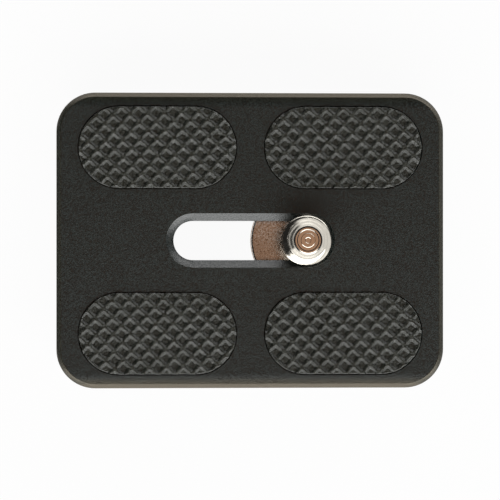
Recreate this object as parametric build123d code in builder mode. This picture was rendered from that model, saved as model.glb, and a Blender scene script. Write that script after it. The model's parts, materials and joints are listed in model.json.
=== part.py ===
from build123d import *
import os

# Plate: outline, height and outer edges
PLATE_LENGTH = 50.0
PLATE_WIDTH = 38.1
PLATE_HEIGHT = 10.0
CORNER_RADIUS = 5.0
TOP_CHAMFER_WIDTH = 0.55
TOP_CHAMFER_DEPTH = 0.42
BOTTOM_CHAMFER = 0.4

# Dovetail: the foot that a clamp's jaws hold, and the groove above it
FOOT_LAND = 1.7
FLANK_RISE = 3.1
FLANK_DEPTH = 3.1
GROOVE_ROOT_HEIGHT = 1.2
GROOVE_ROOT_RADIUS = 0.4

# Slot that the camera screw slides in
SLOT_TRAVEL = 14.8
SLOT_CHAMFER_WIDTH = 0.95
SLOT_CHAMFER_DEPTH = 0.72
WEB_THICKNESS = 3.6

# Rubber pads and their pockets
PAD_END_MARGIN = 2.85
PAD_SIDE_MARGIN = 1.8
PAD_GAP_X = 3.7
PAD_GAP_Y = 13.5
PAD_THICKNESS = 1.5
PAD_CLEARANCE = 0.13
POCKET_DEPTH = 1.2

# Diamond relief, cut from one sheet: each pad sits elsewhere on the sheet's lattice
PIT_PITCH = 1.56
PIT_RIB = 0.3
PIT_DEPTH = 0.4
LATTICE_ANGLE = 47.6
PADS = {
    "pad_rear_left": (-1, 1, (0.00, 0.03)),
    "pad_rear_right": (1, 1, (-0.14, -0.37)),
    "pad_front_left": (-1, -1, (-0.02, 0.23)),
    "pad_front_right": (1, -1, (0.16, 0.19)),
}

# Camera screw: quarter-inch thread, thin neck, flange and coin-slot drive
THREAD_DIAMETER = 6.27
THREAD_REACH = 5.5
TIP_DIAMETER = 3.4
TIP_HEIGHT = 1.4
NECK_DIAMETER = 4.8
NECK_CLEARANCE = 0.15
SCREW_SETBACK = 0.35
RUNOUT_HEIGHT = 0.92
FLANGE_DIAMETER = 13.7
FLANGE_THICKNESS = 1.5
FLANGE_CHAMFER = 0.3
DRIVE_SINK = 0.6
DRIVE_CHAMFER = 0.3
COIN_SLOT_WIDTH = 1.8
COIN_SLOT_DEPTH = 1.3

# Washer between the flange and the plate, captive below the thread
WASHER_SETBACK = 0.05
WASHER_BORE = 5.6
WASHER_THICKNESS = 0.8
WASHER_CHAMFER = 0.15
SCREW_PLAY = 0.4

# Stamped ring that folds against the drive, and its two pins
RING_WIDTH = 1.8
RING_THICKNESS = 1.6
RING_CHAMFER = 0.2
RING_OVERHANG = 0.3
RING_GAP = 0.3
RING_LEG = 1.3
RING_EAR = 0.9
PIN_DIAMETER = 1.2
PIN_LENGTH = 1.3
PIN_CLEARANCE = 0.06
RECESS_CLEARANCE = 0.5
RECESS_CHAMFER = 0.4

# Stop screws in the underside
STOP_END_MARGIN = 3.6
STOP_DIAMETER = 3.0
STOP_LENGTH = 4.5
STOP_SINK = 0.3
STOP_CLEARANCE = 0.05
STOP_SOCKET = 1.5
STOP_SOCKET_DEPTH = 1.6

# Sizes, heights and places that follow from the ones above
PAD_LENGTH = (PLATE_LENGTH - PAD_GAP_X) / 2 - PAD_END_MARGIN
PAD_WIDTH = (PLATE_WIDTH - PAD_GAP_Y) / 2 - PAD_SIDE_MARGIN
PAD_SPACING_X = PAD_LENGTH + PAD_GAP_X
PAD_SPACING_Y = PAD_WIDTH + PAD_GAP_Y
PIT_MOUTH = PIT_PITCH - PIT_RIB
SLOT_WIDTH = NECK_DIAMETER + 2 * NECK_CLEARANCE
RECESS_DEPTH = PLATE_HEIGHT - WEB_THICKNESS
WASHER_TOP = RECESS_DEPTH - SCREW_PLAY
FLANGE_TOP = WASHER_TOP - WASHER_THICKNESS
FLANGE_BASE = FLANGE_TOP - FLANGE_THICKNESS
PIVOT_HEIGHT = (FLANGE_BASE + DRIVE_SINK) / 2
PAD_BASE = PLATE_HEIGHT - POCKET_DEPTH
PAD_TOP = PAD_BASE + PAD_THICKNESS
TIP_TOP = PLATE_HEIGHT + THREAD_REACH
SCREW_X = SLOT_TRAVEL / 2 - SCREW_SETBACK
WASHER_DIAMETER = FLANGE_DIAMETER - 2 * WASHER_SETBACK
RING_OUTSIDE = FLANGE_DIAMETER / 2 + RING_OVERHANG
RING_INSIDE = RING_OUTSIDE - RING_WIDTH
RING_REACH = RING_LEG + RING_OUTSIDE
DRIVE_DIAMETER = 2 * (RING_INSIDE - RING_GAP)
RECESS_WIDTH = 2 * (RING_REACH + RECESS_CLEARANCE)
STOP_SPACING = PLATE_LENGTH - 2 * STOP_END_MARGIN
SCREW_SECTION = Plane(origin=(SCREW_X, 0, 0), x_dir=(1, 0, 0), z_dir=(0, -1, 0))
SCREW_AXIS = Axis((SCREW_X, 0, 0), (0, 0, 1))

os.makedirs("parts", exist_ok=True)


# Plate body: chamfered blank, dovetail grooves, slot, pockets and the recess underneath
with BuildPart() as plate_body:
    with BuildSketch():
        RectangleRounded(PLATE_LENGTH, PLATE_WIDTH, CORNER_RADIUS)
    extrude(amount=PLATE_HEIGHT)
    top_face = plate_body.faces().sort_by(Axis.Z)[-1]
    chamfer(top_face.edges(), TOP_CHAMFER_WIDTH, TOP_CHAMFER_DEPTH, reference=top_face)
    chamfer(plate_body.faces().sort_by(Axis.Z)[0].edges(), BOTTOM_CHAMFER)

    with BuildSketch(Plane.YZ) as grooves:
        groove_root = PLATE_WIDTH / 2 - FLANK_DEPTH
        flank_top = FOOT_LAND + FLANK_RISE
        groove_top = flank_top + GROOVE_ROOT_HEIGHT
        with BuildLine():
            Polyline(
                (PLATE_WIDTH / 2, FOOT_LAND),
                (groove_root, flank_top),
                (groove_root, groove_top),
                (PLATE_WIDTH / 2, groove_top),
                close=True,
            )
        make_face()
        fillet(grooves.vertices().group_by(Axis.X)[0], GROOVE_ROOT_RADIUS)
        mirror(about=Plane.YZ)
    extrude(amount=PLATE_LENGTH, both=True, mode=Mode.SUBTRACT)

    with BuildSketch():
        SlotCenterToCenter(SLOT_TRAVEL, SLOT_WIDTH)
    extrude(amount=PLATE_HEIGHT, mode=Mode.SUBTRACT)
    top_face = plate_body.faces().sort_by(Axis.Z)[-1]
    slot_rim = top_face.inner_wires()[0].edges()
    chamfer(slot_rim, SLOT_CHAMFER_WIDTH, SLOT_CHAMFER_DEPTH, reference=top_face)

    with BuildSketch(Plane.XY.offset(PLATE_HEIGHT)):
        with GridLocations(PAD_SPACING_X, PAD_SPACING_Y, 2, 2):
            SlotOverall(PAD_LENGTH + 2 * PAD_CLEARANCE, PAD_WIDTH + 2 * PAD_CLEARANCE)
    extrude(amount=-POCKET_DEPTH, mode=Mode.SUBTRACT)

    with BuildSketch():
        SlotCenterToCenter(SLOT_TRAVEL, RECESS_WIDTH)
    extrude(amount=RECESS_DEPTH, mode=Mode.SUBTRACT)
    underside = plate_body.faces().sort_by(Axis.Z)[0]
    chamfer(underside.inner_wires()[0].edges(), RECESS_CHAMFER)

    with BuildSketch():
        with GridLocations(STOP_SPACING, 0, 2, 1):
            Circle(STOP_DIAMETER / 2 + STOP_CLEARANCE)
    extrude(amount=STOP_SINK + STOP_LENGTH, mode=Mode.SUBTRACT)
plate_body.part.label = "plate_body"
export_step(plate_body.part, "parts/plate_body.step")


# One diamond pit of the pads' relief: a pyramid, point down, with its mouth at the pads' top
with BuildPart(Plane.XY.offset(PAD_TOP)) as pit:
    pit_point = PIT_MOUTH / 2
    Wedge(
        PIT_MOUTH,
        PIT_DEPTH,
        PIT_MOUTH,
        pit_point,
        pit_point,
        pit_point,
        pit_point,
        rotation=(-90, 0, 0),
        align=(Align.CENTER, Align.MIN, Align.CENTER),
    )


def pit_places(centre, shift):
    """Where the sheet's lattice puts a pit on the pad at this centre."""
    lattice = Plane(origin=centre).rotated((0, 0, LATTICE_ANGLE))
    rows = 2 * int(PAD_LENGTH / PIT_PITCH / 2 + 1) + 1
    half_straight = (PAD_LENGTH - PAD_WIDTH) / 2
    reach = (PAD_WIDTH + PIT_PITCH) / 2
    places = []
    for place in GridLocations(PIT_PITCH, PIT_PITCH, rows, rows):
        spot = lattice.location * Pos(*shift) * place
        beside = Vector(spot.position) - Vector(centre)
        past_end = max(abs(beside.X) - half_straight, 0)
        if Vector(past_end, beside.Y).length < reach:
            places.append(spot)
    return places


# Pads: stadium blanks in the pockets, with the pits cut into the top
for pad_name, (side_x, side_y, sheet_shift) in PADS.items():
    pad_centre = (side_x * PAD_SPACING_X / 2, side_y * PAD_SPACING_Y / 2, 0)
    with BuildPart() as pad:
        with BuildSketch(Plane(origin=pad_centre).offset(PAD_BASE)):
            SlotOverall(PAD_LENGTH, PAD_WIDTH)
        extrude(amount=PAD_THICKNESS)
        with Locations(*pit_places(pad_centre, sheet_shift)):
            add(pit.part, mode=Mode.SUBTRACT)
    pad.part.label = pad_name
    export_step(pad.part, f"parts/{pad_name}.step")


# Camera screw: turned profile, then the coin slot and the ring's two blind holes
with BuildPart() as camera_screw:
    with BuildSketch(SCREW_SECTION):
        neck = NECK_DIAMETER / 2
        thread = THREAD_DIAMETER / 2
        shoulder_base = PLATE_HEIGHT - SLOT_CHAMFER_DEPTH
        thread_base = shoulder_base + RUNOUT_HEIGHT
        tip_base = TIP_TOP - TIP_HEIGHT
        with BuildLine():
            Polyline(
                (0, TIP_TOP),
                (0, DRIVE_SINK),
                (DRIVE_DIAMETER / 2 - DRIVE_CHAMFER, DRIVE_SINK),
                (DRIVE_DIAMETER / 2, DRIVE_SINK + DRIVE_CHAMFER),
                (DRIVE_DIAMETER / 2, FLANGE_BASE),
                (FLANGE_DIAMETER / 2 - FLANGE_CHAMFER, FLANGE_BASE),
                (FLANGE_DIAMETER / 2, FLANGE_BASE + FLANGE_CHAMFER),
                (FLANGE_DIAMETER / 2, FLANGE_TOP),
                (neck, FLANGE_TOP),
                (neck, shoulder_base),
                (thread, thread_base),
                (thread, tip_base),
                (TIP_DIAMETER / 2, TIP_TOP),
                close=True,
            )
        make_face()
    revolve(axis=SCREW_AXIS)

    with BuildSketch(Plane(origin=(SCREW_X, 0, DRIVE_SINK))):
        Rectangle(DRIVE_DIAMETER, COIN_SLOT_WIDTH)
    extrude(amount=COIN_SLOT_DEPTH, mode=Mode.SUBTRACT)

    for side in (1, -1):
        with BuildSketch(SCREW_SECTION.offset(side * DRIVE_DIAMETER / 2)):
            with Locations((0, PIVOT_HEIGHT)):
                Circle(PIN_DIAMETER / 2 + PIN_CLEARANCE)
        extrude(amount=-side * (PIN_LENGTH + PIN_CLEARANCE), mode=Mode.SUBTRACT)
camera_screw.part.label = "camera_screw"
export_step(camera_screw.part, "parts/camera_screw.step")


# Washer: round the screw's neck, with its upper edge broken
with BuildPart() as washer:
    with BuildSketch(Plane(origin=(SCREW_X, 0, FLANGE_TOP))):
        Circle(WASHER_DIAMETER / 2)
        Circle(WASHER_BORE / 2, mode=Mode.SUBTRACT)
    extrude(amount=WASHER_THICKNESS)
    washer_top = washer.faces().sort_by(Axis.Z)[-1]
    chamfer(washer_top.outer_wire().edges(), WASHER_CHAMFER)
washer.part.label = "washer"
export_step(washer.part, "parts/washer.step")


# Ring: a flat bow with two pins in the drive's holes, folded towards the plate's right end
with BuildPart() as d_ring:
    bow_radius = RING_OUTSIDE - RING_WIDTH / 2
    with BuildSketch(Plane(origin=(SCREW_X, 0, PIVOT_HEIGHT - RING_THICKNESS / 2))):
        with BuildLine():
            first_leg = Line((-RING_EAR, -bow_radius), (RING_LEG, -bow_radius))
            bow = JernArc(first_leg @ 1, first_leg % 1, bow_radius, 180)
            Line(bow @ 1, (-RING_EAR, bow_radius))
        trace(line_width=RING_WIDTH)
    extrude(amount=RING_THICKNESS)
    flat_faces = d_ring.faces().filter_by(Axis.Z)
    chamfer(flat_faces.edges(), RING_CHAMFER)
    for side in (1, -1):
        with BuildSketch(SCREW_SECTION.offset(side * RING_INSIDE)):
            with Locations((0, PIVOT_HEIGHT)):
                Circle(PIN_DIAMETER / 2)
        extrude(amount=-side * (RING_GAP + PIN_LENGTH))
d_ring.part.label = "d_ring"
export_step(d_ring.part, "parts/d_ring.step")


# Stop screws: set screws sunk a little below the underside
for stop_name, side in (("stop_screw_left", -1), ("stop_screw_right", 1)):
    with BuildPart() as stop_screw:
        with BuildSketch(Plane(origin=(side * STOP_SPACING / 2, 0, STOP_SINK))):
            Circle(STOP_DIAMETER / 2)
        extrude(amount=STOP_LENGTH)
        with BuildSketch(Plane(origin=(side * STOP_SPACING / 2, 0, STOP_SINK))):
            RegularPolygon(STOP_SOCKET / 2, 6, major_radius=False)
        extrude(amount=STOP_SOCKET_DEPTH, mode=Mode.SUBTRACT)
    stop_screw.part.label = stop_name
    export_step(stop_screw.part, f"parts/{stop_name}.step")
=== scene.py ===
import json
import math

import bmesh
import bpy
import numpy as np
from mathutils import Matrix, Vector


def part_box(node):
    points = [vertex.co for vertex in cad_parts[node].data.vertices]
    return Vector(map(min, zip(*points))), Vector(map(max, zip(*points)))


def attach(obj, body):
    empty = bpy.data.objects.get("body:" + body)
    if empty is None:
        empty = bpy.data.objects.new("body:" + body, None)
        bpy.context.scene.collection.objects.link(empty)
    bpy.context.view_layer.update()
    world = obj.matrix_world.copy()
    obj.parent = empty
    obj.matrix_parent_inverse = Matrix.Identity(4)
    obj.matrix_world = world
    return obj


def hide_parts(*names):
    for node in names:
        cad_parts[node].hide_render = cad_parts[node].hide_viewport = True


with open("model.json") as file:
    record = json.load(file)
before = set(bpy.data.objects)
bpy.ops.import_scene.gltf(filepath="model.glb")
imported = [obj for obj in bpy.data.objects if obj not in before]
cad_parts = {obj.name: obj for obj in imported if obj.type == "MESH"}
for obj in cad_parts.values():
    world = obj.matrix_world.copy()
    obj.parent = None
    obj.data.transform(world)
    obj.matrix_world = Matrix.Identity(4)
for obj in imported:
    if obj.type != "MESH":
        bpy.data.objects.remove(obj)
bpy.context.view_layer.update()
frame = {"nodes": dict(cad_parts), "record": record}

nodes = frame["nodes"]
mounts = {mount["name"]: mount for mount in frame["record"]["mounts"]}
camera_stud = mounts["camera_stud"]
plate_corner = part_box("plate_body")[1]
MM = 0.001

# Camera: above the plate, a little to the left of its middle, level with the plate's edges
CAMERA_HEIGHT = 300 * MM
CAMERA_LEFT = 14 * MM
VIEW_CENTRE = (-0.08 * MM, -1.23 * MM)
FIELD_WIDTH = 64.5 * MM
SENSOR_WIDTH = 36.0
CLIP_START = 10 * MM
CLIP_END = 10.0

# Rubber pads: the solids' lattice of pits, with soft edges and flat floors
PIT_PITCH = 1.56 * MM
PIT_RIM = 0.69 * MM
PIT_FLOOR = 0.42 * MM
PIT_DEPTH = 0.27 * MM
PIT_SQUARENESS = 5
LATTICE_ANGLE = math.radians(47.6)
PAD_SHIFTS = {
    "pad_rear_left": (0.00 * MM, 0.03 * MM),
    "pad_rear_right": (-0.14 * MM, -0.37 * MM),
    "pad_front_left": (-0.02 * MM, 0.23 * MM),
    "pad_front_right": (0.16 * MM, 0.19 * MM),
}
PAD_EDGE = 0.12 * MM
PAD_EDGE_STEPS = 4
PAD_STEP = 0.09 * MM
PAD_SHARP_ANGLE = 38

# Camera screw: thread, run-out and tip, on the neck of the solid
PLATE_TOP = plate_corner.z
SCREW_X = camera_stud["pos_m"][0]
THREAD_RADIUS = camera_stud["dims"]["r_mm"] * MM
THREAD_PITCH = 1.27 * MM
THREAD_DEPTH = 0.7 * MM
THREAD_START = math.radians(165)
CREST_SHARE = 0.16
ROOT_SHARE = 0.22
NECK_RADIUS = 2.4 * MM
NECK_TOP = PLATE_TOP - 0.75 * MM
RUNOUT_TOP = PLATE_TOP + 0.2 * MM
ROUND_STEPS = 128
PITCH_STEPS = 26
SCREW_SHARP_ANGLE = 15

# Screw's tip: a cone with a broken edge, and a face with a turned rim, a raised boss and a pip
TIP_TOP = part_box("camera_screw")[1].z
TIP_BASE = TIP_TOP - 1.4 * MM
TIP_RADIUS = 1.82 * MM
TIP_EDGE_WIDTH = 0.21 * MM
TIP_EDGE_DROP = 0.075 * MM
TIP_RIM = 1.43 * MM
TIP_RIM_SLOPE = 0.12 * MM
TIP_BOSS = 0.87 * MM
TIP_PIP = 0.34 * MM
TIP_STEP = 0.035 * MM
TIP_SLOPE = 0.055 * MM
TIP_FACE = TIP_TOP - TIP_STEP
TIP_SHOULDER = TIP_TOP - TIP_EDGE_DROP

# Long edges of the drawn profile: they roll off softly, by a slope that would end beyond the plate's side
ROLL_START = plate_corner.y - 1.95 * MM
ROLL_END = plate_corner.y + 1.35 * MM
ROLL_DEPTH = 0.42 * MM

# Top edges: bronze sheen on all chamfers and beside the long ones, and painted warm light on the long ones
CORNER_RADIUS = 5.0 * MM
CHAMFER_WIDTH = 0.55 * MM
CHAMFER_BOTTOM = PLATE_TOP - 0.7 * MM
CHAMFER_FADE = 0.15 * MM
SHEEN_START = plate_corner.y - 1.65 * MM
SHEEN_FULL = plate_corner.y - 0.65 * MM
PAINTED_LIGHT_START = plate_corner.y - 0.7 * MM
PAINTED_LIGHT_FULL = plate_corner.y - 0.45 * MM
WARM_PAINTED_LIGHT = (0.04, 0.03, 0.02)
BRONZE_SHEEN = (1.0, 0.88, 0.7)
NO_PAINTED_LIGHT = (0.0, 0.0, 0.0)
PLAIN_SHEEN = (1.0, 1.0, 1.0)

# Broken edges of the milled and turned pieces
EDGE_BREAK = {
    "plate_body": 0.09 * MM,
    "washer": 0.07 * MM,
    "d_ring": 0.1 * MM,
    "stop_screw_left": 0.2 * MM,
    "stop_screw_right": 0.2 * MM,
}
EDGE_ANGLE = 25
EDGE_SEGMENTS = 2
FLAT_ANGLE = 0.5
WELD = 0.001 * MM

# Grains and marks of the surfaces: their size, and their height in the bump
BLASTED_GRAIN = 0.16 * MM
BLASTED_HEIGHT = 0.027 * MM
RUBBER_GRAIN = 0.28 * MM
RUBBER_HEIGHT = 0.075 * MM
STEEL_SMEAR = 0.9 * MM
TURNING_PITCH = 0.4084 * MM
TURNING_HEIGHT = 0.006 * MM
WASHER_GRAIN = 0.22 * MM
WASHER_HEIGHT = 0.01 * MM
STAMPED_SCUFF = 0.4 * MM
STAMPED_HEIGHT = 0.004 * MM
OXIDE_GRAIN = 0.2 * MM
OXIDE_HEIGHT = 0.006 * MM

# Octaves of a plain and of a cloudy noise, and the part of its range that most of its values lie in
PLAIN = 1.0
CLOUDY = 3.0
NOISE_LOW = 0.3
NOISE_HIGH = 0.7

# Wave texture: its period at scale 1, and how uneven the turning marks are
WAVE_PERIOD = math.pi / 10
WAVE_DISTORTION = 1.5
WAVE_DETAIL = 2.0

# Floor, white to the camera apart from the object's soft shadow
FLOOR_REACH = 2.5
FLOOR_TONE = 0.88
FLOOR_GLOW = 0.95

# Walls of light: azimuth in degrees, cosines between which a wall grows, its foot's share, sine of its top
FRONT_WALL = {"azimuth": 274, "start": 0.4, "full": 0.55, "foot": 0.37, "top": 0.72, "strength": 4.7}
REAR_WALL = {"azimuth": 71, "start": 0.56, "full": 0.91, "foot": 0.37, "top": 0.32, "strength": 4.7}
RIGHT_WALL = {"azimuth": 0, "start": 0.47, "full": 0.95, "foot": 1.0, "top": 0.17, "strength": 0.42}
WALL_FADE = 0.2
FOOT_LOW = 0.12
FOOT_HIGH = 0.22

# Haze between the walls, and a warm patch overhead between two cosines
HAZE_LOW = 0.11
HAZE_HIGH = 0.03
HAZE_TOP = 0.5
PATCH_COLOUR = (0.54, 0.322, 0.212)
PATCH_ELEVATION = 87
PATCH_EDGE = 0.976
PATCH_FULL = 0.992


def new_piece(name, mesh, body, replaced, material, sharp_angle):
    """A smooth shaded piece that rides on a body and stands for one solid."""
    mesh.shade_smooth()
    mesh.set_sharp_from_angle(angle=math.radians(sharp_angle))
    mesh.materials.append(material)
    piece = bpy.data.objects.new(name, mesh)
    bpy.context.scene.collection.objects.link(piece)
    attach(piece, body)
    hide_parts(replaced)


# Node helpers
def new_material(name):
    """A material with its node tree and its main shader."""
    material = bpy.data.materials.new(name)
    material.use_nodes = True
    return material, material.node_tree, material.node_tree.nodes["Principled BSDF"]


def own_place(tree):
    """A point in the piece's own coordinates."""
    return tree.nodes.new("ShaderNodeTexCoord").outputs["Object"]


def own_axes(tree):
    """The x, y and z of a point, in the piece's own coordinates."""
    axes = tree.nodes.new("ShaderNodeSeparateXYZ")
    tree.links.new(own_place(tree), axes.inputs["Vector"])
    return axes.outputs["X"], axes.outputs["Y"], axes.outputs["Z"]


def noise(tree, size, octaves):
    """Noise with features of this size, in the piece's own coordinates."""
    texture = tree.nodes.new("ShaderNodeTexNoise")
    texture.inputs["Scale"].default_value = 1 / size
    texture.inputs["Detail"].default_value = octaves
    tree.links.new(own_place(tree), texture.inputs["Vector"])
    return texture.outputs["Fac"]


def rings(tree, pitch, centre_x):
    """Turning marks: fine uneven rings round an upright axis."""
    centred = tree.nodes.new("ShaderNodeMapping")
    centred.inputs["Location"].default_value = (-centre_x, 0, 0)
    wave = tree.nodes.new("ShaderNodeTexWave")
    wave.wave_type = "RINGS"
    wave.rings_direction = "Z"
    wave.inputs["Scale"].default_value = WAVE_PERIOD / pitch
    wave.inputs["Distortion"].default_value = WAVE_DISTORTION
    wave.inputs["Detail"].default_value = WAVE_DETAIL
    tree.links.new(own_place(tree), centred.inputs["Vector"])
    tree.links.new(centred.outputs["Vector"], wave.inputs["Vector"])
    return wave.outputs["Fac"]


def absolute(tree, value):
    """A value without its sign."""
    node = tree.nodes.new("ShaderNodeMath")
    node.operation = "ABSOLUTE"
    tree.links.new(value, node.inputs[0])
    return node.outputs["Value"]


def vector_math(tree, operation, vector, fixed=(0, 0, 0)):
    """A node that takes a vector together with a fixed one."""
    node = tree.nodes.new("ShaderNodeVectorMath")
    node.operation = operation
    node.inputs[1].default_value = fixed
    tree.links.new(vector, node.inputs[0])
    return node


def corner_reach(tree, corner, radius):
    """How far a point lies out from the rectangle between the centres of a plate's rounded corners."""
    centre = (corner.x - radius, corner.y - radius, corner.z)
    quarter = vector_math(tree, "ABSOLUTE", own_place(tree)).outputs["Vector"]
    beyond = vector_math(tree, "SUBTRACT", quarter, centre).outputs["Vector"]
    outside = vector_math(tree, "MAXIMUM", beyond).outputs["Vector"]
    return vector_math(tree, "LENGTH", outside).outputs["Value"]


def facing(tree, direction, azimuth, elevation=0):
    """How far a direction points to a spot all round the plate, from -1 to 1."""
    turn = math.radians(azimuth)
    rise = math.radians(elevation)
    spot = (math.cos(turn) * math.cos(rise), math.sin(turn) * math.cos(rise), math.sin(rise))
    return vector_math(tree, "DOT_PRODUCT", direction, spot).outputs["Value"]


def add_colour(tree, first, second):
    """The sum of two colours."""
    node = vector_math(tree, "ADD", first)
    tree.links.new(second, node.inputs[1])
    return node.outputs["Vector"]


def spread(tree, value, start, full, low, high):
    """A value that goes softly from low at start to high at full."""
    node = tree.nodes.new("ShaderNodeMapRange")
    node.interpolation_type = "SMOOTHSTEP"
    node.inputs["From Min"].default_value = start
    node.inputs["From Max"].default_value = full
    node.inputs["To Min"].default_value = low
    node.inputs["To Max"].default_value = high
    tree.links.new(value, node.inputs["Value"])
    return node.outputs["Result"]


def combine(tree, operation, values):
    """Several values taken together by one kind of sum."""
    total = values[0]
    for value in values[1:]:
        node = tree.nodes.new("ShaderNodeMath")
        node.operation = operation
        tree.links.new(total, node.inputs[0])
        tree.links.new(value, node.inputs[1])
        total = node.outputs["Value"]
    return total


def tones(tree, value, start, full, dark, light):
    """A colour that goes from a dark tone at start to a light one at full."""
    ramp = tree.nodes.new("ShaderNodeValToRGB")
    for element, position, tone in zip(ramp.color_ramp.elements, (start, full), (dark, light)):
        element.position = position
        element.color = (*tone, 1)
    tree.links.new(value, ramp.inputs["Fac"])
    return ramp.outputs["Color"]


def bump(tree, height, depth, below=None):
    """A normal from a 0 to 1 height map of this depth, on top of another one."""
    node = tree.nodes.new("ShaderNodeBump")
    node.inputs["Distance"].default_value = depth
    tree.links.new(height, node.inputs["Height"])
    if below is not None:
        tree.links.new(below, node.inputs["Normal"])
    return node.outputs["Normal"]


def set_finish(tree, shader, value, dark, light, smooth, rough):
    """A colour between two tones and a roughness between two ends, by one noise value."""
    colour = tones(tree, value, NOISE_LOW, NOISE_HIGH, dark, light)
    tree.links.new(colour, shader.inputs["Base Color"])
    tree.links.new(spread(tree, value, NOISE_LOW, NOISE_HIGH, smooth, rough), shader.inputs["Roughness"])
    return colour


# Materials
def anodised_black():
    """Fine blasted aluminium under a black oxide skin, with a bronze sheen on its top edges and painted
    light on the long ones.
    """
    material, tree, shader = new_material("anodised_black")
    shader.inputs["IOR"].default_value = 1.8
    grain = noise(tree, BLASTED_GRAIN, PLAIN)
    black = set_finish(
        tree, shader, grain,
        dark=(0.001, 0.0025, 0.002), light=(0.0035, 0.0113, 0.009), smooth=0.32, rough=0.48,
    )

    _, across, height = own_axes(tree)
    side = absolute(tree, across)
    top = spread(tree, height, CHAMFER_BOTTOM, CHAMFER_BOTTOM + CHAMFER_FADE, 0, 1)
    # Painted light: a lighter, warm base on the long top chamfers, which face the front and rear lights,
    # and not on the ends
    thin = combine(tree, "MULTIPLY", [top, spread(tree, side, PAINTED_LIGHT_START, PAINTED_LIGHT_FULL, 0, 1)])
    bronze = tones(tree, thin, 0, 1, NO_PAINTED_LIGHT, WARM_PAINTED_LIGHT)
    tree.links.new(add_colour(tree, black, bronze), shader.inputs["Base Color"])

    inner_edge = CORNER_RADIUS - CHAMFER_WIDTH
    reach = corner_reach(tree, plate_corner, CORNER_RADIUS)
    chamfers = spread(tree, reach, inner_edge - CHAMFER_FADE, inner_edge, 0, 1)
    long_sides = spread(tree, side, SHEEN_START, SHEEN_FULL, 0, 1)
    sheen = combine(tree, "MULTIPLY", [top, combine(tree, "MAXIMUM", [chamfers, long_sides])])
    tint = tones(tree, sheen, 0, 1, PLAIN_SHEEN, BRONZE_SHEEN)
    tree.links.new(tint, shader.inputs["Specular Tint"])

    rolled = bump(tree, spread(tree, side, ROLL_START, ROLL_END, 1, 0), ROLL_DEPTH)
    tree.links.new(bump(tree, grain, BLASTED_HEIGHT, rolled), shader.inputs["Normal"])
    return material


def pad_rubber():
    """Matte rubber with a fine moulded grain."""
    material, tree, shader = new_material("pad_rubber")
    shader.inputs["IOR"].default_value = 1.66
    grain = noise(tree, RUBBER_GRAIN, PLAIN)
    set_finish(
        tree, shader, grain,
        dark=(0.004, 0.0055, 0.002), light=(0.043, 0.046, 0.037), smooth=0.33, rough=0.46,
    )
    tree.links.new(bump(tree, grain, RUBBER_HEIGHT), shader.inputs["Normal"])
    return material


def turned_steel():
    """Bright steel with turning marks round the screw's axis."""
    material, tree, shader = new_material("turned_steel")
    shader.inputs["Metallic"].default_value = 1.0
    smear = noise(tree, STEEL_SMEAR, CLOUDY)
    set_finish(
        tree, shader, smear,
        dark=(0.59, 0.555, 0.49), light=(0.69, 0.655, 0.58), smooth=0.1, rough=0.2,
    )
    marks = rings(tree, TURNING_PITCH, SCREW_X)
    tree.links.new(bump(tree, marks, TURNING_HEIGHT), shader.inputs["Normal"])
    return material


def satin_steel():
    """Grey washer steel with a fine grain."""
    material, tree, shader = new_material("satin_steel")
    shader.inputs["Metallic"].default_value = 1.0
    grain = noise(tree, WASHER_GRAIN, PLAIN)
    set_finish(
        tree, shader, grain,
        dark=(0.25, 0.22, 0.18), light=(1.0, 0.98, 0.95), smooth=0.2, rough=0.34,
    )
    tree.links.new(bump(tree, grain, WASHER_HEIGHT), shader.inputs["Normal"])
    return material


def stamped_steel():
    """Bright stamped steel with faint scuffs."""
    material, tree, shader = new_material("stamped_steel")
    shader.inputs["Metallic"].default_value = 1.0
    scuffs = noise(tree, STAMPED_SCUFF, CLOUDY)
    set_finish(
        tree, shader, scuffs,
        dark=(0.62, 0.6, 0.57), light=(0.74, 0.72, 0.68), smooth=0.14, rough=0.28,
    )
    tree.links.new(bump(tree, scuffs, STAMPED_HEIGHT), shader.inputs["Normal"])
    return material


def black_oxide():
    """Steel under a thin black oxide."""
    material, tree, shader = new_material("black_oxide")
    shader.inputs["Metallic"].default_value = 1.0
    grain = noise(tree, OXIDE_GRAIN, CLOUDY)
    set_finish(
        tree, shader, grain,
        dark=(0.03, 0.03, 0.032), light=(0.06, 0.06, 0.062), smooth=0.3, rough=0.45,
    )
    tree.links.new(bump(tree, grain, OXIDE_HEIGHT), shader.inputs["Normal"])
    return material


# Pads: a fine sheet over the stadium outline, lowered at the pits, with rounded edges and a wall
def relief(across, along, shift):
    """How far the pits lower the pad's top at points beside its centre."""
    turned = (
        across * math.cos(LATTICE_ANGLE) + along * math.sin(LATTICE_ANGLE) - shift[0],
        along * math.cos(LATTICE_ANGLE) - across * math.sin(LATTICE_ANGLE) - shift[1],
    )
    beside = [np.abs(value - PIT_PITCH * np.round(value / PIT_PITCH)) for value in turned]
    distance = (beside[0] ** PIT_SQUARENESS + beside[1] ** PIT_SQUARENESS) ** (1 / PIT_SQUARENESS)
    share = np.clip((distance - PIT_FLOOR) / (PIT_RIM - PIT_FLOOR), 0, 1)
    soft_share = share * share * (3 - 2 * share)
    return PIT_DEPTH * (soft_share - 1)


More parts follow.
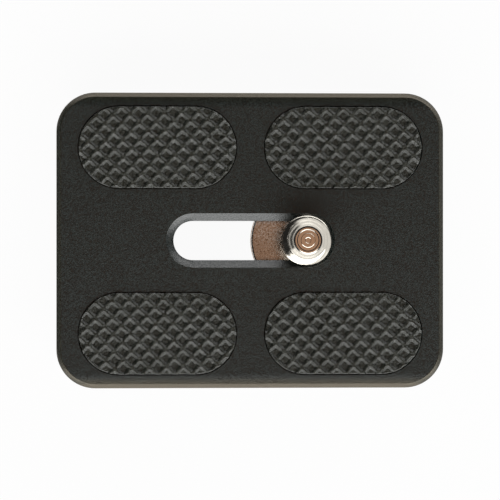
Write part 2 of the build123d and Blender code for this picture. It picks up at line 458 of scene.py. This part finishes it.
def pad_mesh(name, shift):
    """The pad's mesh: rows across the stadium, then rings over its edge and down its wall."""
    low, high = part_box(name)
    centre = (low + high) / 2
    half_length = (high.x - low.x) / 2
    half_width = (high.y - low.y) / 2
    straight = half_length - half_width
    inner_width = half_width - PAD_EDGE
    rows = round(math.pi * inner_width / PAD_STEP)
    columns = round(2 * half_length / PAD_STEP)
    turn = np.linspace(-math.pi / 2, math.pi / 2, rows + 1)[:, None]
    across = np.linspace(-1, 1, columns + 1)[None, :] * (straight + inner_width * np.cos(turn))
    along = inner_width * np.sin(turn) * np.ones((1, columns + 1))
    points = [np.stack([across, along, high.z + relief(across, along, shift)], -1).reshape(-1, 3)]

    index = np.arange((rows + 1) * (columns + 1)).reshape(rows + 1, columns + 1)
    corners = [index[:-1, :-1], index[:-1, 1:], index[1:, 1:], index[1:, :-1]]
    faces = np.stack(corners, -1).reshape(-1, 4).tolist()
    rim = np.concatenate([index[0], index[1:, -1], index[-1, -2::-1], index[-2:0:-1, 0]])
    rim_points = points[0][rim]
    spine = np.clip(rim_points[:, 0], -straight, straight)
    outward = np.stack([rim_points[:, 0] - spine, rim_points[:, 1]], -1) / inner_width

    last_ring = rim
    count = len(points[0])
    for step in range(1, PAD_EDGE_STEPS + 2):
        angle = min(step / PAD_EDGE_STEPS, 1) * math.pi / 2
        reach = inner_width + PAD_EDGE * math.sin(angle)
        ring_across = spine + outward[:, 0] * reach
        ring_along = outward[:, 1] * reach
        height = high.z + relief(ring_across, ring_along, shift) - PAD_EDGE * (1 - math.cos(angle))
        if step > PAD_EDGE_STEPS:
            height = np.full(len(rim), low.z)
        points.append(np.stack([ring_across, ring_along, height], -1))
        ring = np.arange(count, count + len(rim))
        count += len(rim)
        faces += np.stack([last_ring, ring, np.roll(ring, -1), np.roll(last_ring, -1)], -1).tolist()
        last_ring = ring
    faces.append(last_ring[::-1].tolist())

    mesh = bpy.data.meshes.new(name + "_relief")
    mesh.from_pydata(np.concatenate(points) + [centre.x, centre.y, 0], [], faces)
    return mesh


# Camera screw: the solid's head and neck, with a real thread and a turned tip above
def screw_outline(height):
    """The radius of the screw's run-out, thread crest and tapered tip at a height."""
    if height < RUNOUT_TOP:
        share = max(height - NECK_TOP, 0) / (RUNOUT_TOP - NECK_TOP)
        return NECK_RADIUS + share * (THREAD_RADIUS - NECK_RADIUS)
    share = max(height - TIP_BASE, 0) / (TIP_SHOULDER - TIP_BASE)
    return THREAD_RADIUS + share * (TIP_RADIUS - THREAD_RADIUS)


def thread_radius(share):
    """The radius at a share of the pitch, with the crest at a half."""
    flank = (abs(share - 0.5) - CREST_SHARE / 2) / (0.5 - ROOT_SHARE / 2 - CREST_SHARE / 2)
    return THREAD_RADIUS - THREAD_DEPTH * min(max(flank, 0), 1)


def tip_profile():
    """Radius and height of the turned rings on the tip's face, from its edge to its middle."""
    return [
        (TIP_RADIUS - TIP_EDGE_WIDTH, TIP_TOP),
        (TIP_RIM, TIP_TOP),
        (TIP_RIM - TIP_RIM_SLOPE, TIP_FACE),
        (TIP_BOSS + TIP_SLOPE, TIP_FACE),
        (TIP_BOSS, TIP_TOP),
        (TIP_PIP + TIP_SLOPE, TIP_TOP),
        (TIP_PIP, TIP_FACE),
    ]


def screw_columns():
    """Points of the thread and the tip, column by column round the axis; rows follow the helix."""
    turns = math.ceil((TIP_SHOULDER - NECK_TOP) / THREAD_PITCH) + 1
    columns = []
    for step in range(ROUND_STEPS + 1):
        share = step / ROUND_STEPS
        angle = THREAD_START + 2 * math.pi * share
        outline = []
        for row in range(turns * PITCH_STEPS + 1):
            height = NECK_TOP + (row / PITCH_STEPS - 1 + share) * THREAD_PITCH
            height = min(max(height, NECK_TOP), TIP_SHOULDER)
            radius = min(screw_outline(height), thread_radius(row % PITCH_STEPS / PITCH_STEPS))
            outline.append((radius, height))
        outline += tip_profile()
        beside = math.cos(angle)
        behind = math.sin(angle)
        columns.append([(SCREW_X + radius * beside, radius * behind, height) for radius, height in outline])
    return columns


def screw_mesh():
    """The screw's mesh: a copy of the solid cut off at the neck, and the thread on it."""
    build = bmesh.new()
    build.from_mesh(nodes["camera_screw"].data)
    bmesh.ops.remove_doubles(build, verts=build.verts[:], dist=WELD)
    everything = build.verts[:] + build.edges[:] + build.faces[:]
    cut = bmesh.ops.bisect_plane(
        build, geom=everything, plane_co=(0, 0, NECK_TOP), plane_no=(0, 0, 1), clear_outer=True
    )
    cut_edges = [item for item in cut["geom_cut"] if isinstance(item, bmesh.types.BMEdge)]
    bmesh.ops.edgeloop_fill(build, edges=cut_edges)

    columns = [[build.verts.new(point) for point in column] for column in screw_columns()]
    for left, right in zip(columns, columns[1:]):
        for row in range(len(left) - 1):
            build.faces.new((left[row], right[row], right[row + 1], left[row + 1]))
    build.faces.new([column[-1] for column in columns[:-1]])
    build.faces.new([column[0] for column in columns[-2::-1]])
    thread_verts = [vert for column in columns for vert in column]
    bmesh.ops.remove_doubles(build, verts=thread_verts, dist=WELD)
    mesh = bpy.data.meshes.new("threaded_screw")
    build.to_mesh(mesh)
    build.free()
    # The solid's own normals don't fit the new faces
    mesh.attributes.remove(mesh.attributes["custom_normal"])
    return mesh


# Solids that stay
def dress(node_name, material):
    """Gives a solid its material."""
    materials = nodes[node_name].data.materials
    materials.clear()
    materials.append(material)


def break_edges(node, width):
    """Breaks a solid's sharp edges by a narrow bevel."""
    weld = node.modifiers.new("weld", "WELD")
    weld.merge_threshold = WELD
    merge = node.modifiers.new("merge_flat_faces", "DECIMATE")
    merge.decimate_type = "DISSOLVE"
    merge.angle_limit = math.radians(FLAT_ANGLE)
    bevel = node.modifiers.new("break_edges", "BEVEL")
    bevel.width = width
    bevel.segments = EDGE_SEGMENTS
    bevel.limit_method = "ANGLE"
    bevel.angle_limit = math.radians(EDGE_ANGLE)
    bevel.harden_normals = True


# Stage: floor, soft light from all round and the camera
def make_floor():
    """A wide pale floor that is white to the camera and keeps a soft shadow."""
    mesh = bpy.data.meshes.new("floor")
    signs = ((-1, -1), (1, -1), (1, 1), (-1, 1))
    mesh.from_pydata([(FLOOR_REACH * x, FLOOR_REACH * y, 0) for x, y in signs], [], [(0, 1, 2, 3)])
    floor = bpy.data.objects.new("floor", mesh)
    bpy.context.scene.collection.objects.link(floor)
    material, tree, shader = new_material("floor")
    shader.inputs["Base Color"].default_value = (FLOOR_TONE, FLOOR_TONE, FLOOR_TONE, 1)
    shader.inputs["Roughness"].default_value = 1.0
    glow = tree.nodes.new("ShaderNodeEmission")
    path = tree.nodes.new("ShaderNodeLightPath")
    looks = [path.outputs[ray] for ray in ("Is Camera Ray", "Is Glossy Ray", "Is Transmission Ray")]
    share = spread(tree, combine(tree, "ADD", looks), 0, 1, 0, FLOOR_GLOW)
    mix = tree.nodes.new("ShaderNodeMixShader")
    tree.links.new(share, mix.inputs["Fac"])
    tree.links.new(shader.outputs["BSDF"], mix.inputs[1])
    tree.links.new(glow.outputs["Emission"], mix.inputs[2])
    tree.links.new(mix.outputs["Shader"], tree.nodes["Material Output"].inputs["Surface"])
    mesh.materials.append(material)


def wall(tree, direction, height, azimuth, start, full, foot, top, strength):
    """Light that grows towards its azimuth, is weaker at its foot and fades out above its top."""
    side = spread(tree, facing(tree, direction, azimuth), start, full, 0, strength)
    rise = spread(tree, height, FOOT_LOW, FOOT_HIGH, foot, 1)
    fade = spread(tree, height, top, top + WALL_FADE, 1, 0)
    return combine(tree, "MULTIPLY", [side, rise, fade])


def make_light():
    """Soft light: a broad front wall, a low rear one, a dim right one, haze and a warm patch overhead."""
    world = bpy.data.worlds.new("studio")
    bpy.context.scene.world = world
    world.use_nodes = True
    tree = world.node_tree
    tree.nodes.clear()
    direction = tree.nodes.new("ShaderNodeTexCoord").outputs["Generated"]
    axes = tree.nodes.new("ShaderNodeSeparateXYZ")
    tree.links.new(direction, axes.inputs["Vector"])
    height = axes.outputs["Z"]

    sides = (FRONT_WALL, REAR_WALL, RIGHT_WALL)
    lights = [wall(tree, direction, height, **side) for side in sides]
    lights.append(spread(tree, height, 0, HAZE_TOP, HAZE_LOW, HAZE_HIGH))
    room = tree.nodes.new("ShaderNodeBackground")
    tree.links.new(combine(tree, "ADD", lights), room.inputs["Strength"])

    patch = tree.nodes.new("ShaderNodeBackground")
    patch.inputs["Color"].default_value = (*PATCH_COLOUR, 1)
    overhead = facing(tree, direction, 0, PATCH_ELEVATION)
    ceiling = tree.nodes.new("ShaderNodeMixShader")
    tree.links.new(spread(tree, overhead, PATCH_EDGE, PATCH_FULL, 0, 1), ceiling.inputs["Fac"])
    tree.links.new(room.outputs["Background"], ceiling.inputs[1])
    tree.links.new(patch.outputs["Background"], ceiling.inputs[2])
    output = tree.nodes.new("ShaderNodeOutputWorld")
    tree.links.new(ceiling.outputs["Shader"], output.inputs["Surface"])


def make_camera():
    """The camera looks down at the plate's middle, turned a little to the right."""
    data = bpy.data.cameras.new("camera")
    camera = bpy.data.objects.new("camera", data)
    bpy.context.scene.collection.objects.link(camera)
    bpy.context.scene.camera = camera
    camera.location = (VIEW_CENTRE[0] - CAMERA_LEFT, VIEW_CENTRE[1], PLATE_TOP + CAMERA_HEIGHT)
    camera.rotation_euler = (0, -math.atan2(CAMERA_LEFT, CAMERA_HEIGHT), 0)
    data.sensor_width = SENSOR_WIDTH
    data.lens = SENSOR_WIDTH * math.hypot(CAMERA_HEIGHT, CAMERA_LEFT) / FIELD_WIDTH
    data.clip_start = CLIP_START
    data.clip_end = CLIP_END


rubber = pad_rubber()
for pad_name, pad_shift in PAD_SHIFTS.items():
    pad = pad_mesh(pad_name, pad_shift)
    new_piece(pad_name + "_relief", pad, "plate", pad_name, rubber, PAD_SHARP_ANGLE)
steel = turned_steel()
new_piece("threaded_screw", screw_mesh(), "screw", "camera_screw", steel, SCREW_SHARP_ANGLE)

dress("plate_body", anodised_black())
dress("washer", satin_steel())
dress("d_ring", stamped_steel())
oxide = black_oxide()
dress("stop_screw_left", oxide)
dress("stop_screw_right", oxide)
for node_name, edge_width in EDGE_BREAK.items():
    break_edges(nodes[node_name], edge_width)

make_floor()
make_light()
make_camera()
bpy.context.scene.view_settings.view_transform = "Standard"
